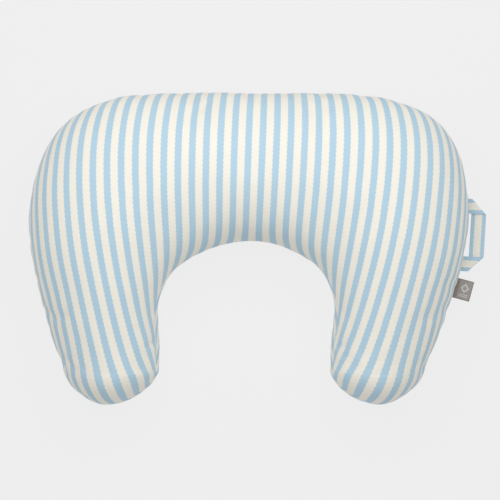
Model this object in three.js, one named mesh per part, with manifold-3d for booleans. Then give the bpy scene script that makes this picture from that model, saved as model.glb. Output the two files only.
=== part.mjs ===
// A nursing pillow: a plump C-shaped cushion in a zipped, striped cover.
// Millimetres, +Z up. The pillow lies on z = 0, its open side faces -Y,
// and x = y = 0 is under the middle of its central section.

import * as THREE from 'three';
import Module from 'manifold-3d';
import { mergeVertices } from 'three/addons/utils/BufferGeometryUtils.js';

const manifold = await Module();
manifold.setup();

// Driving dimensions: the pillow as a whole.
const BODY_WIDTH = 560;
const BODY_DEPTH = 397;
const BODY_THICKNESS = 165;
const TIP_THICKNESS = 130;
const EQUATOR_SHARE = 0.455; // of the thickness: how high the widest line lies
const SECTION_POWER = 2.2; // 2 is an ellipse, more is fuller
const SAG = 9; // how far the underside would bulge below the floor
const CAP_LENGTH = 40; // how far the leg's end reaches past its last station
const CAP_TAPER = 0.12; // of the half width: how the end carries on the outer edge's slope
const CAP_DRIFT = 0.06; // of the half width: how far out the very tip lies

// The edge seen from above, right half, drawn for a pillow of DRAWN size.
const DRAWN = { width: 560, depth: 397 };
const OUTER_EDGE = [
  [0, 94.6], [66, 94.6], [128, 93.4], [178, 85.6], [229, 61], [259, 24],
  [277, -33], [279, -96], [256, -192], [230, -262],
];
const INNER_EDGE = [
  [0, -94.6], [51, -104.8], [92.7, -130.4], [109, -160], [113.5, -190],
  [110, -230], [110, -262],
];

// Height of the sewn seam above the widest line, along the edge.
const SEAM_AT_BACK = -16;
const SEAM_AT_SIDE = -4;
const SEAM_AT_INNER_LEG = 15;

// Layers, measured inwards from the outer surface.
const COVER_CLOTH = 1.6;
const CASING_CLOTH = 1.2;
const CLEARANCE = 0.4;
const INSERT_SIDE_ROOM = 9; // the insert sits loose behind the seam
const INSERT_CROWN_ROOM = 1.2;
const SEAM_ALLOWANCE = 4;
const SEAM_THICKNESS = 2.4;

// The zip, in its own frame: X along it, Y outwards, Z across it.
const ZIP_LENGTH = 230;
const ZIP_SLOT = 10;
const TAPE = { width: 10, thick: 0.6, depth: 4, overrun: 8 };
const CHAIN_CHANNEL = 1.8;
const COIL = { width: 2.3, thick: 2.1 };
const SLIDER = { length: 10, height: 8.6, plate: 1.2, post: 1.1 };
const BRIDGE = { width: 2.4, span: 6.8, wall: 1.1, gap: 2.3 };
const PULL = { length: 27, width: 6.6, thick: 1, arm: 1.6, window: 6.4 };
const STOP_LENGTH = 2.6;

// The strap handle, in its own frame: X outwards, Y along the seam.
const HANDLE = { strap: 19, reach: 28.9, spacing: 74, thick: 2, centre: -86 };
const ROOT_REACH = 1.2; // how far the sewn-in ends stand out of the seam
const ROOT_DEPTH = 0.4;
const HINGE_GAP = 1.3;

const LABEL = { width: 26, length: 19, thick: 0.9, centre: -154 };
const LAW_LABEL = { width: 24, length: 15, thick: 0.5 };
const CLOSING = { length: 90, width: 1.6, thick: 0.8 };

// How finely the soft solids are faceted.
const SIDE_STEPS = 14;
const CAP_STEPS = 6;
const SECTION_STEPS = 5;

const COLOURS = {
  ticking: { color: 0xdfe0da, roughness: 0.9, metalness: 0 },
  casing: { color: 0xf4f3ee, roughness: 0.95, metalness: 0 },
  fibre: { color: 0xfbfbf8, roughness: 1, metalness: 0 },
  thread: { color: 0xe6e4da, roughness: 0.8, metalness: 0 },
  tape: { color: 0xe9e5d8, roughness: 0.85, metalness: 0 },
  coil: { color: 0xe4dfd0, roughness: 0.45, metalness: 0 },
  metal: { color: 0xb9bcc0, roughness: 0.35, metalness: 1 },
  label: { color: 0x8f877e, roughness: 0.9, metalness: 0 },
};

const pillow = new THREE.Group();

function add(parent, name, geometry, colour) {
  const mesh = new THREE.Mesh(geometry, new THREE.MeshStandardMaterial(COLOURS[colour]));
  mesh.name = name;
  parent.add(mesh);
  return mesh;
}

// ---- Geometry helpers ----

// A grid of points becomes triangles: rows[i][j], open or closed each way.
function gridTriangles(rows, closed, out) {
  const count = rows.length;
  for (let i = 0; i < (closed ? count : count - 1); i += 1) {
    const here = rows[i];
    const next = rows[(i + 1) % count];
    for (let j = 0; j < here.length - 1; j += 1) {
      out.push([here[j], next[j], next[j + 1]]);
      out.push([here[j], next[j + 1], here[j + 1]]);
    }
  }
}

// Triangles of points become one closed geometry with its faces out.
function closedGeometry(triangles) {
  const soup = new THREE.BufferGeometry().setFromPoints(triangles.flat());
  const merged = mergeVertices(soup, 1e-4);
  const index = merged.getIndex().array;
  const position = merged.getAttribute('position');
  const kept = [];
  let volume = 0;
  const [a, b, c] = [new THREE.Vector3(), new THREE.Vector3(), new THREE.Vector3()];
  for (let t = 0; t < index.length; t += 3) {
    const [i, j, k] = index.slice(t, t + 3);
    if (i === j || j === k || k === i) continue;
    kept.push(i, j, k);
    a.fromBufferAttribute(position, i);
    b.fromBufferAttribute(position, j);
    c.fromBufferAttribute(position, k);
    volume += a.dot(b.cross(c));
  }
  if (volume < 0) kept.reverse();
  merged.setIndex(kept);
  return merged;
}

function toSolid(geometry, matrix) {
  const bare = geometry.clone();
  bare.deleteAttribute('normal');
  bare.deleteAttribute('uv');
  if (matrix) bare.applyMatrix4(matrix);
  const merged = mergeVertices(bare, 1e-4);
  const mesh = new manifold.Mesh({
    numProp: 3,
    vertProperties: new Float32Array(merged.getAttribute('position').array),
    triVerts: new Uint32Array(merged.getIndex().array),
  });
  return new manifold.Manifold(mesh);
}

function toGeometry(solid) {
  const mesh = solid.getMesh();
  const geometry = new THREE.BufferGeometry();
  geometry.setAttribute('position', new THREE.BufferAttribute(mesh.vertProperties, 3));
  geometry.setIndex(new THREE.BufferAttribute(mesh.triVerts, 1));
  return geometry;
}

// A box by its lowest and highest corners.
function box(low, high) {
  const size = high.map((value, axis) => value - low[axis]);
  const geometry = new THREE.BoxGeometry(...size);
  return geometry.translate(...low.map((value, axis) => value + size[axis] / 2));
}

// ---- The pillow's shape ----

function edgeCurve(stations) {
  const scaled = stations.map(([x, y]) => new THREE.Vector3(
    (x * BODY_WIDTH) / DRAWN.width, (y * BODY_DEPTH) / DRAWN.depth, 0,
  ));
  const left = scaled.slice(1).reverse().map((p) => new THREE.Vector3(-p.x, p.y, 0));
  return new THREE.CatmullRomCurve3([...left, ...scaled], false, 'centripetal');
}

const outerEdge = edgeCurve(OUTER_EDGE);
const innerEdge = edgeCurve(INNER_EDGE);

// The right-hand point at a share of the way from the middle to the leg's end.
const along = (curve, share) => curve.getPointAt(0.5 + share / 2);

function outerShareAt(y) {
  let [low, high] = [0.2, 1];
  for (let step = 0; step < 40; step += 1) {
    const middle = (low + high) / 2;
    if (along(outerEdge, middle).y > y) low = middle;
    else high = middle;
  }
  return low;
}

function outerYAt(x) {
  let [low, high] = [0, 0.5];
  for (let step = 0; step < 40; step += 1) {
    const middle = (low + high) / 2;
    if (along(outerEdge, middle).x < x) low = middle;
    else high = middle;
  }
  return along(outerEdge, low).y;
}

// A station is one point of the edge with the point of the crown line
// above its section, and what the section needs to know.
function sideStation(share, isInner) {
  const outer = along(outerEdge, share);
  const inner = along(innerEdge, share);
  const foot = outer.clone().add(inner).multiplyScalar(0.5);
  return { edge: isInner ? inner : outer, foot, share, inward: isInner ? 1 : 0 };
}

function capStation(turn) {
  const outer = along(outerEdge, 1);
  const inner = along(innerEdge, 1);
  const foot = outer.clone().add(inner).multiplyScalar(0.5);
  const across = outer.clone().sub(foot);
  const ahead = new THREE.Vector3(across.y, -across.x, 0).setLength(CAP_LENGTH);
  const lean = CAP_DRIFT * Math.sin(turn) ** 2 - CAP_TAPER * Math.sin(2 * turn);
  const edge = foot.clone()
    .addScaledVector(across, Math.cos(turn) + lean)
    .addScaledVector(ahead, Math.sin(turn));
  return { edge, foot, share: 1, inward: (1 - Math.cos(turn)) / 2 };
}

const mirrored = (station) => ({
  ...station,
  edge: station.edge.clone().setX(-station.edge.x),
  foot: station.foot.clone().setX(-station.foot.x),
});

// The right half of the edge: back, round the tip, and in to the arch.
function halfRing() {
  const stations = [];
  for (let i = 0; i < SIDE_STEPS; i += 1) stations.push(sideStation(i / SIDE_STEPS, false));
  for (let i = 0; i < CAP_STEPS; i += 1) stations.push(capStation((Math.PI * i) / CAP_STEPS));
  for (let i = SIDE_STEPS; i >= 0; i -= 1) stations.push(sideStation(i / SIDE_STEPS, true));
  return stations;
}

// The two halves share the points in the middle of the back and of the arch.
function wholeRing() {
  const right = halfRing();
  const left = right.slice(1, -1).reverse().map(mirrored);
  return [...right, ...left];
}

const RING = wholeRing();

const smooth = (from, to, value) => THREE.MathUtils.smoothstep(value, from, to);
const mix = THREE.MathUtils.lerp;

const thicknessAt = (share) => mix(BODY_THICKNESS, TIP_THICKNESS, smooth(0.45, 1, share));
const equatorAt = (share) => EQUATOR_SHARE * thicknessAt(share);

function halfHeight(station, isTop) {
  const equator = equatorAt(station.share);
  return isTop ? thicknessAt(station.share) - equator : equator + SAG;
}

function seamRise({ share, inward }) {
  const outer = mix(SEAM_AT_BACK, SEAM_AT_SIDE, smooth(0.26, 0.5, share));
  const inner = SEAM_AT_INNER_LEG * smooth(0.35, 0.65, share);
  return mix(outer, inner, inward);
}

// A point of a layer, at an angle round the section: 0 at the widest line,
// +90 degrees on the crown and -90 degrees under it.
function sectionPoint(station, angle, inset) {
  const power = 2 / SECTION_POWER;
  const outwards = station.edge.clone().sub(station.foot);
  const reach = (outwards.length() - inset.side) * Math.max(Math.cos(angle), 0) ** power;
  const height = halfHeight(station, angle >= 0) - inset.crown;
  const rise = Math.sign(angle) * height * Math.abs(Math.sin(angle)) ** power;
  const point = station.foot.clone().addScaledVector(outwards.normalize(), reach);
  return point.setZ(Math.max(equatorAt(station.share) + rise, inset.crown));
}

function angleOf(station, rise) {
  const share = Math.abs(rise) / halfHeight(station, rise >= 0);
  return Math.sign(rise) * Math.asin(share ** (SECTION_POWER / 2));
}

const evenly = (depth) => ({ side: depth, crown: depth });

// The angles of a section's points, from a height up to the crown or down
// to the belly. Every layer uses the same ones, so the layers stay parallel.
function sectionAngles(station, isTop, rise) {
  const start = angleOf(station, rise);
  const pole = isTop ? Math.PI / 2 : -Math.PI / 2;
  const steps = [...Array(SECTION_STEPS + 1).keys()];
  return steps.map((step) => mix(start, pole, step / SECTION_STEPS));
}

// A panel of cloth from its seam edge up to the crown, or down to the belly.
function panel(isTop, outside, inside) {
  const gap = isTop ? CLEARANCE / 2 : -CLEARANCE / 2;
  const rows = RING.map((station) => {
    const angles = sectionAngles(station, isTop, seamRise(station) + gap);
    const outer = angles.map((angle) => sectionPoint(station, angle, outside));
    const inner = angles.map((angle) => sectionPoint(station, angle, inside));
    return [...inner.reverse(), ...outer];
  });
  const triangles = [];
  gridTriangles(rows, true, triangles);
  return closedGeometry(triangles);
}

// A solid filling the whole section inside a given depth.
function filling(inside) {
  const triangles = [];
  const rows = RING.map((station) => {
    const below = sectionAngles(station, false, seamRise(station)).reverse();
    const above = sectionAngles(station, true, seamRise(station)).slice(1);
    return [...below, ...above].map((angle) => sectionPoint(station, angle, inside));
  });
  gridTriangles(rows, true, triangles);
  return closedGeometry(triangles);
}

// The overlocked edges inside a seam: a flat band that follows it.
function seamBand(stations, closed, inset) {
  const rows = stations.map((station) => {
    const level = seamRise(station);
    const low = angleOf(station, level - SEAM_THICKNESS / 2);
    const high = angleOf(station, level + SEAM_THICKNESS / 2);
    const deep = { side: inset.side + SEAM_ALLOWANCE, crown: inset.crown };
    const corners = [[low, inset], [high, inset], [high, deep], [low, deep], [low, inset]];
    return corners.map(([angle, depth]) => sectionPoint(station, angle, depth));
  });
  const triangles = [];
  gridTriangles(rows, closed, triangles);
  if (!closed) {
    for (const [row, turn] of [[rows[0], 1], [rows.at(-1), -1]]) {
      const [a, b, c, d] = row;
      triangles.push(turn > 0 ? [a, b, c] : [a, c, b]);
      triangles.push(turn > 0 ? [a, c, d] : [a, d, c]);
    }
  }
  return closedGeometry(triangles);
}

// ---- Frames that sit on the seam ----

const depthOfCasing = { side: INSERT_SIDE_ROOM, crown: COVER_CLOTH + INSERT_CROWN_ROOM };
const depthInCasing = {
  side: depthOfCasing.side + CASING_CLOTH,
  crown: depthOfCasing.crown + CASING_CLOTH,
};

// The zip's frame: outwards is square to the cloth at the middle of the back.
function zipFrame() {
  const station = sideStation(0, false);
  const middle = sectionPoint(station, angleOf(station, SEAM_AT_BACK), evenly(0));
  const above = sectionPoint(station, angleOf(station, SEAM_AT_BACK + TAPE.width), evenly(0));
  const below = sectionPoint(station, angleOf(station, SEAM_AT_BACK - TAPE.width), evenly(0));
  const frame = new THREE.Group();
  frame.position.copy(middle);
  frame.rotation.x = -Math.atan2(above.y - below.y, above.z - below.z);
  frame.updateMatrixWorld();
  return frame;
}

// A frame on the outer seam, spanning a stretch of it: X outwards, Y along it.
function edgeFrame(y, span) {
  const [rear, front] = [1, -1].map((side) => along(outerEdge, outerShareAt(y + (side * span) / 2)));
  const frame = new THREE.Group();
  const middle = rear.clone().add(front).multiplyScalar(0.5);
  const station = sideStation(outerShareAt(y), false);
  frame.position.set(middle.x, middle.y, equatorAt(station.share) + seamRise(station));
  frame.rotation.z = -Math.atan2(rear.x - front.x, rear.y - front.y);
  frame.updateMatrixWorld();
  return frame;
}

const zip = zipFrame();
const handle = edgeFrame(HANDLE.centre, HANDLE.spacing);
const label = edgeFrame(LABEL.centre, LABEL.width);

// The sewn-in ends stand in slots between the two cover panels.
function rootBox(width, thick, middle, margin) {
  return box(
    [-ROOT_DEPTH - margin, middle - width / 2 - margin, -thick / 2 - margin],
    [ROOT_REACH + margin, middle + width / 2 + margin, thick / 2 + margin],
  );
}

const handleRoots = {
  handle_end_rear: HANDLE.spacing / 2,
  handle_end_front: -HANDLE.spacing / 2,
};

// ---- Cover, insert and filling ----

function coverPanel(isTop) {
  const whole = toSolid(panel(isTop, evenly(0), evenly(COVER_CLOTH)));
  const slot = box(
    [-ZIP_LENGTH / 2, -COVER_CLOTH * 3, -ZIP_SLOT / 2],
    [ZIP_LENGTH / 2, COVER_CLOTH * 3, ZIP_SLOT / 2],
  );
  const cutters = [toSolid(slot, zip.matrixWorld)];
  for (const middle of Object.values(handleRoots)) {
    const root = rootBox(HANDLE.strap, HANDLE.thick, middle, CLEARANCE);
    cutters.push(toSolid(root, handle.matrixWorld));
  }
  const edge = rootBox(LABEL.width, LABEL.thick, 0, CLEARANCE);
  cutters.push(toSolid(edge, label.matrixWorld));
  return toGeometry(cutters.reduce((solid, cutter) => solid.subtract(cutter), whole));
}

add(pillow, 'cover_top_panel', coverPanel(true), 'ticking');
add(pillow, 'cover_bottom_panel', coverPanel(false), 'ticking');

add(pillow, 'insert_casing_top', panel(true, depthOfCasing, depthInCasing), 'casing');
add(pillow, 'insert_casing_bottom', panel(false, depthOfCasing, depthInCasing), 'casing');

const insideCover = evenly(COVER_CLOTH + CLEARANCE);
const insideCasing = { side: depthInCasing.side + CLEARANCE, crown: depthInCasing.crown + CLEARANCE };
const bandStart = ZIP_LENGTH / 2 + TAPE.overrun * 2;
const openBand = RING.filter(({ edge, inward }) => inward > 0 || Math.abs(edge.x) > bandStart);
add(pillow, 'cover_overlock_thread', seamBand(openBand, false, insideCover), 'thread');
add(pillow, 'insert_overlock_thread', seamBand(RING, true, insideCasing), 'thread');

const insideBand = {
  side: insideCasing.side + SEAM_ALLOWANCE + CLEARANCE,
  crown: insideCasing.crown,
};
add(pillow, 'fibre_filling', filling(insideBand), 'fibre');

// The insert's fill opening, closed by hand in the middle of its back.
function closingStitch() {
  const station = sideStation(0, false);
  const back = sectionPoint(station, angleOf(station, SEAM_AT_BACK), depthOfCasing);
  return box(
    [-CLOSING.length / 2, CLEARANCE, -CLOSING.width / 2],
    [CLOSING.length / 2, CLEARANCE + CLOSING.thick, CLOSING.width / 2],
  ).translate(0, back.y, back.z);
}

// The insert's law label hangs from its seam, in the loose room at the arch.
function lawLabel() {
  const arch = sectionPoint(sideStation(0, true), 0, depthOfCasing);
  const out = 2;
  return box(
    [-LAW_LABEL.width / 2, -out - LAW_LABEL.thick, -LAW_LABEL.length - 1],
    [LAW_LABEL.width / 2, -out, -1],
  ).translate(0, arch.y, arch.z);
}

add(pillow, 'insert_closing_stitch', closingStitch(), 'thread');
add(pillow, 'insert_law_label', lawLabel(), 'tape');

// ---- Zip ----

pillow.add(zip);
const chainHalf = CHAIN_CHANNEL / 2;
const tapeHalf = ZIP_LENGTH / 2 + TAPE.overrun;
const backFall = along(outerEdge, 0).y - outerYAt(tapeHalf); // where the tape ends
const tapeFront = -TAPE.depth - backFall;
const coilFront = tapeFront + CLEARANCE + COIL.thick;
const plateBack = coilFront + CLEARANCE;
const plateFront = plateBack + SLIDER.plate;

for (const [side, name] of [[1, 'upper'], [-1, 'lower']]) {
  const near = side * chainHalf;
  const tape = [near, near + side * TAPE.width].sort((p, q) => p - q);
  const coil = [near, near + side * COIL.width].sort((p, q) => p - q);
  const coilEnd = ZIP_LENGTH / 2 - STOP_LENGTH - CLEARANCE;
  add(zip, `zip_tape_${name}`, box(
    [-tapeHalf, tapeFront - TAPE.thick, tape[0]], [tapeHalf, tapeFront, tape[1]],
  ), 'tape');
  add(zip, `zip_coil_${name}`, box(
    [-coilEnd, tapeFront + CLEARANCE, coil[0]], [coilEnd, coilFront, coil[1]],
  ), 'coil');
  add(zip, `zip_top_stop_${name}`, box(
    [coilEnd + CLEARANCE, tapeFront + CLEARANCE, coil[0]], [ZIP_LENGTH / 2, coilFront, coil[1]],
  ), 'metal');
}
const stopHalf = chainHalf + COIL.width;
add(zip, 'zip_bottom_stop', box(
  [-ZIP_LENGTH / 2, tapeFront + CLEARANCE, -stopHalf],
  [-ZIP_LENGTH / 2 + STOP_LENGTH, coilFront, stopHalf],
), 'metal');

// The slider: two plates round the chain, a post between the coils, and a
// bridge that holds the pull.
const sliderEnd = ZIP_LENGTH / 2 - STOP_LENGTH - SLIDER.length / 2 - 2;
const tapeBack = tapeFront - TAPE.thick;

function sliderSolid() {
  const halfLength = SLIDER.length / 2;
  const halfHigh = SLIDER.height / 2;
  const bridgeTop = plateFront + BRIDGE.gap + BRIDGE.wall;
  const innerSpan = BRIDGE.span / 2 - BRIDGE.wall;
  const blocks = [
    box([-halfLength, plateBack, -halfHigh], [halfLength, plateFront, halfHigh]),
    box(
      [-halfLength, tapeBack - CLEARANCE - SLIDER.plate * 0.7, -halfHigh],
      [halfLength, tapeBack - CLEARANCE, halfHigh],
    ),
    box(
      [halfLength - 3, tapeBack - CLEARANCE - 0.1, -SLIDER.post / 2],
      [halfLength, plateBack + 0.1, SLIDER.post / 2],
    ),
    box([-BRIDGE.span / 2, plateFront - 0.1, -BRIDGE.width / 2], [BRIDGE.span / 2, bridgeTop, BRIDGE.width / 2]),
  ].map((geometry) => toSolid(geometry));
  const hole = toSolid(box(
    [-innerSpan, plateFront, -BRIDGE.width], [innerSpan, plateFront + BRIDGE.gap, BRIDGE.width],
  ));
  return toGeometry(blocks.reduce((solid, block) => solid.add(block)).subtract(hole));
}

// The pull: a flat tab whose window goes round the bridge.
function pullSolid() {
  const half = PULL.width / 2;
  const bar = PULL.thick / 2;
  const outline = new THREE.Shape();
  outline.moveTo(bar, -half);
  outline.lineTo(bar, half);
  outline.lineTo(-PULL.length + half, half);
  outline.absarc(-PULL.length + half, 0, half, Math.PI / 2, (3 * Math.PI) / 2, false);
  outline.closePath();
  const window = new THREE.Path();
  window.moveTo(-bar, half - PULL.arm);
  window.lineTo(-bar, -half + PULL.arm);
  window.lineTo(-PULL.window, -half + PULL.arm);
  window.lineTo(-PULL.window, half - PULL.arm);
  window.closePath();
  outline.holes.push(window);
  const settings = { depth: PULL.thick, bevelEnabled: false, curveSegments: 6 };
  const tab = new THREE.ExtrudeGeometry(outline, settings);
  return tab.translate(0, 0, -PULL.thick / 2).rotateX(Math.PI / 2);
}

const slider = new THREE.Group();
slider.position.x = sliderEnd;
zip.add(slider);
add(slider, 'zip_slider', sliderSolid(), 'metal');
const pull = add(slider, 'zip_pull_tab', pullSolid(), 'metal');
pull.position.y = plateFront + BRIDGE.gap / 2;

// ---- Handle and label ----

// A flat strap folded on the diagonal at both corners, its ends at the seam.
function handleSolid() {
  const start = ROOT_REACH + HINGE_GAP + CLEARANCE;
  const end = (HANDLE.spacing + HANDLE.strap) / 2;
  const inner = (HANDLE.spacing - HANDLE.strap) / 2;
  const run = HANDLE.reach - HANDLE.strap;
  const outline = new THREE.Shape();
  outline.moveTo(start, end);
  outline.lineTo(start, inner);
  outline.lineTo(run, inner);
  outline.lineTo(run, -inner);
  outline.lineTo(start, -inner);
  outline.lineTo(start, -end);
  outline.lineTo(run, -end);
  outline.lineTo(HANDLE.reach, HANDLE.strap - end);
  outline.lineTo(HANDLE.reach, end - HANDLE.strap);
  outline.lineTo(run, end);
  outline.closePath();
  const strap = new THREE.ExtrudeGeometry(outline, { depth: HANDLE.thick, bevelEnabled: false });
  return strap.translate(0, 0, -HANDLE.thick / 2);
}

pillow.add(handle);
add(handle, 'carry_handle', handleSolid(), 'ticking');
for (const [name, middle] of Object.entries(handleRoots)) {
  add(handle, name, rootBox(HANDLE.strap, HANDLE.thick, middle, 0), 'ticking');
}

pillow.add(label);
const labelStart = ROOT_REACH + CLEARANCE;
add(label, 'side_label', box(
  [labelStart, -LABEL.width / 2, -LABEL.thick / 2],
  [labelStart + LABEL.length, LABEL.width / 2, LABEL.thick / 2],
), 'label');
add(label, 'side_label_sewn_edge', rootBox(LABEL.width, LABEL.thick, 0, 0), 'label');

export default pillow;
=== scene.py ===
# %% [markdown]
# # A nursing pillow
# The pillow is a plump C-shaped cushion: a striped cotton cover, closed by a
# zip in the back seam, over a plain casing full of loose polyester fibre. A
# flat carrying strap and a small woven label are sewn into the right-hand
# seam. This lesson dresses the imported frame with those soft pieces.

# %% Load the frame
import math

import bmesh
import bpy
import numpy as np
from mathutils import Matrix, Vector, noise


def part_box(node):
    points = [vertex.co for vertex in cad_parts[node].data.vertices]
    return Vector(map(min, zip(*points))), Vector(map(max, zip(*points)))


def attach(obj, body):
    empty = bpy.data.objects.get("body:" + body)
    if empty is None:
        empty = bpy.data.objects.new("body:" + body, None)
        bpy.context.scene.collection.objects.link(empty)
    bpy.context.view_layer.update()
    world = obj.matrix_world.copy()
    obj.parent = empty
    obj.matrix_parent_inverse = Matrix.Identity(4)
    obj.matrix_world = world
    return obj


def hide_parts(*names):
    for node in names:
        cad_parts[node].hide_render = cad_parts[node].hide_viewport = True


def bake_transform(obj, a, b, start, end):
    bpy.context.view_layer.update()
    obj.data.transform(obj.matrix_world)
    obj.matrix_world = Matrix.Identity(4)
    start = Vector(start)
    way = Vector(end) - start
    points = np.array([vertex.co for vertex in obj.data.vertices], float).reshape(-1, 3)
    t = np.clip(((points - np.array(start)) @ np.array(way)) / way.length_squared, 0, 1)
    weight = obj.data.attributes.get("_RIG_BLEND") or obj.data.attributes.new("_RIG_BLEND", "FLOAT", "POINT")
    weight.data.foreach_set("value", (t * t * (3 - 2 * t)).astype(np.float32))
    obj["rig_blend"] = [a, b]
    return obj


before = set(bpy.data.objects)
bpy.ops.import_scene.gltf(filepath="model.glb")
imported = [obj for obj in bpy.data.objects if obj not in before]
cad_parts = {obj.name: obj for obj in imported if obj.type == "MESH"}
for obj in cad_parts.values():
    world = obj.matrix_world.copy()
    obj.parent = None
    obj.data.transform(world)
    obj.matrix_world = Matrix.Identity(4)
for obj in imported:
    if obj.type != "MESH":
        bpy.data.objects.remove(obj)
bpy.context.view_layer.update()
scene = bpy.context.scene
MM = 0.001

# %% [markdown]
# ## Camera
# The pillow is looked at from straight above. A long lens stands far away,
# so the sides do not lean outwards and the seam stays hidden under them.

# %% Camera
VIEW_WIDTH = 0.6393
LENS = 250
SENSOR = 36
WIDEST_HEIGHT = 0.075
aim = Vector((0.0027, -0.1055, WIDEST_HEIGHT))

camera_data = bpy.data.cameras.new("view_from_above")
camera_data.lens = LENS
camera_data.sensor_width = SENSOR
camera = bpy.data.objects.new("view_from_above", camera_data)
camera.location = aim + Vector((0, 0, VIEW_WIDTH * LENS / SENSOR))
scene.collection.objects.link(camera)
scene.camera = camera
scene.view_settings.view_transform = "Standard"
print("camera:", round(camera.location.z, 2), "m above the floor")

# %% [markdown]
# ## Light
# A large soft panel overhead, a bit towards the back edge, lights the crown
# and lets the sides and the leg ends fall off gently. An even sky fills the
# rest, which keeps the shadows on the pale floor faint.

# %% Lights and sky
SKY_STRENGTH = 0.55


def soft_light(name, place, target, size, power):
    data = bpy.data.lights.new(name, "AREA")
    data.shape = "RECTANGLE"
    data.size, data.size_y = size
    data.energy = power
    light = bpy.data.objects.new(name, data)
    light.location = place
    towards = Vector(target) - Vector(place)
    light.rotation_euler = towards.to_track_quat("-Z", "Y").to_euler()
    light.visible_camera = False
    scene.collection.objects.link(light)


soft_light("overhead_panel", (0.0, 0.25, 1.0), (0, 0, 0.05), (1.2, 0.7), 6.6)

sky = bpy.data.worlds.new("studio")
sky.use_nodes = True
sky.node_tree.nodes["Background"].inputs["Color"].default_value = (1, 1, 1, 1)
sky.node_tree.nodes["Background"].inputs["Strength"].default_value = SKY_STRENGTH
scene.world = sky
print("lights:", [light.name for light in bpy.data.lights])

# %% [markdown]
# ## Shader maths
# A material is easier to read as sums than as boxes and wires. `Value` wraps
# one socket, so `1 - mask` or `abs(a) * 3` adds the Math nodes itself. `Look`
# starts a material and makes every other kind of node with one method.

# %% Shader helpers
class Value:
    def __init__(self, look, socket):
        self.look = look
        self.socket = socket

    def math(self, operation, *others):
        return self.look.math(operation, self, *others)

    def __add__(self, other):
        return self.math("ADD", other)

    __radd__ = __add__

    def __sub__(self, other):
        return self.math("SUBTRACT", other)

    def __rsub__(self, other):
        return self.look.math("SUBTRACT", other, self)

    def __mul__(self, other):
        return self.math("MULTIPLY", other)

    __rmul__ = __mul__

    def __truediv__(self, other):
        return self.math("DIVIDE", other)

    def __abs__(self):
        return self.math("ABSOLUTE")

    def fraction(self):
        return self.math("FRACT")

    def sine(self):
        return self.math("SINE")


class Look:
    def __init__(self, name, colour, roughness, metallic=0.0, sheen=0.0):
        self.material = bpy.data.materials.new(name)
        self.material.use_nodes = True
        self.tree = self.material.node_tree
        self.shader = self.tree.nodes["Principled BSDF"]
        self.set("Base Color", (*colour, 1))
        self.set("Roughness", roughness)
        self.set("Metallic", metallic)
        self.set("Sheen Weight", sheen)
        self.set("Sheen Roughness", 0.5)
        self.set("Specular IOR Level", 0.25 if metallic == 0 else 0.5)

    def set(self, socket, value):
        self.link(value, self.shader.inputs[socket])

    def link(self, value, socket):
        if isinstance(value, Value):
            self.tree.links.new(value.socket, socket)
        elif value is not None:
            socket.default_value = value

    def node(self, kind, settings, inputs, output=0):
        node = self.tree.nodes.new(kind)
        for name, value in settings.items():
            setattr(node, name, value)
        for key, value in inputs.items():
            self.link(value, node.inputs[key])
        return Value(self, node.outputs[output])

    def math(self, operation, *values):
        inputs = dict(enumerate(values))
        return self.node("ShaderNodeMath", {"operation": operation}, inputs)

    def step(self, value, low, high):
        """0 below low, 1 above high, and smooth between them."""
        inputs = {"Value": value, "From Min": low, "From Max": high}
        settings = {"interpolation_type": "SMOOTHSTEP"}
        return self.node("ShaderNodeMapRange", settings, inputs)

    def mix(self, share, first, second):
        """A colour between two colours."""
        settings = {"data_type": "RGBA"}
        return self.node("ShaderNodeMix", settings, {0: share, 6: first, 7: second}, 2)

    def tint(self, share, first, second):
        """The base colour, from one plain colour to another."""
        self.set("Base Color", self.mix(share, (*first, 1), (*second, 1)))

    def parts(self, vector):
        """The three directions of a vector, each as a value."""
        split = self.tree.nodes.new("ShaderNodeSeparateXYZ")
        self.link(vector, split.inputs[0])
        return [Value(self, output) for output in split.outputs]

    def map(self, name):
        """A UV map and its two directions, in metres on the flat cloth."""
        vector = self.node("ShaderNodeUVMap", {"uv_map": name}, {})
        return vector, *self.parts(vector)[:2]

    def place(self):
        """Where the point is on the object, in metres."""
        return self.node("ShaderNodeTexCoord", {}, {}, "Object")

    def grain(self, vector, scale, detail=2.0, roughness=0.5):
        inputs = {"Vector": vector, "Scale": scale, "Detail": detail, "Roughness": roughness}
        return self.node("ShaderNodeTexNoise", {}, inputs, "Fac")

    def bump(self, height, depth, strength=1.0):
        """Relief of a given depth in metres, where height runs from 0 to 1."""
        inputs = {"Strength": strength, "Distance": depth, "Height": height}
        self.set("Normal", self.node("ShaderNodeBump", {}, inputs))


TURN = 2 * math.pi

# %% [markdown]
# ## The striped cloth
# The cover is a soft cotton knit with a stripe along its length: 17 mm from
# one blue stripe to the next, a bit less than half of it blue. The blue yarn
# changes over row by row, so the edges of a stripe are finely scalloped. The
# pattern is drawn in the flat cloth's own two directions, from a UV map, so
# it follows the cloth over the cushion as a real stripe does.

# %% Ticking
STRIPE_PITCH = 17.2 * MM
BLUE_SHARE = 0.475
SCALLOP_PITCH = 5.6 * MM
SCALLOP_DEPTH = 0.020
CREAM = (0.880, 0.850, 0.770, 1)
CREAM_SHADE = (0.840, 0.800, 0.705, 1)
BLUE = (0.400, 0.585, 0.715, 1)
BLUE_LIGHT = (0.475, 0.645, 0.755, 1)
RIB_PITCH = 0.85 * MM
KNIT_RELIEF = 0.22 * MM
YARN_SCALE = 900
CLOUD_SCALE = 22
EDGE_BLUR = 0.022
EDGE_FUZZ = 0.03


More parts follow.
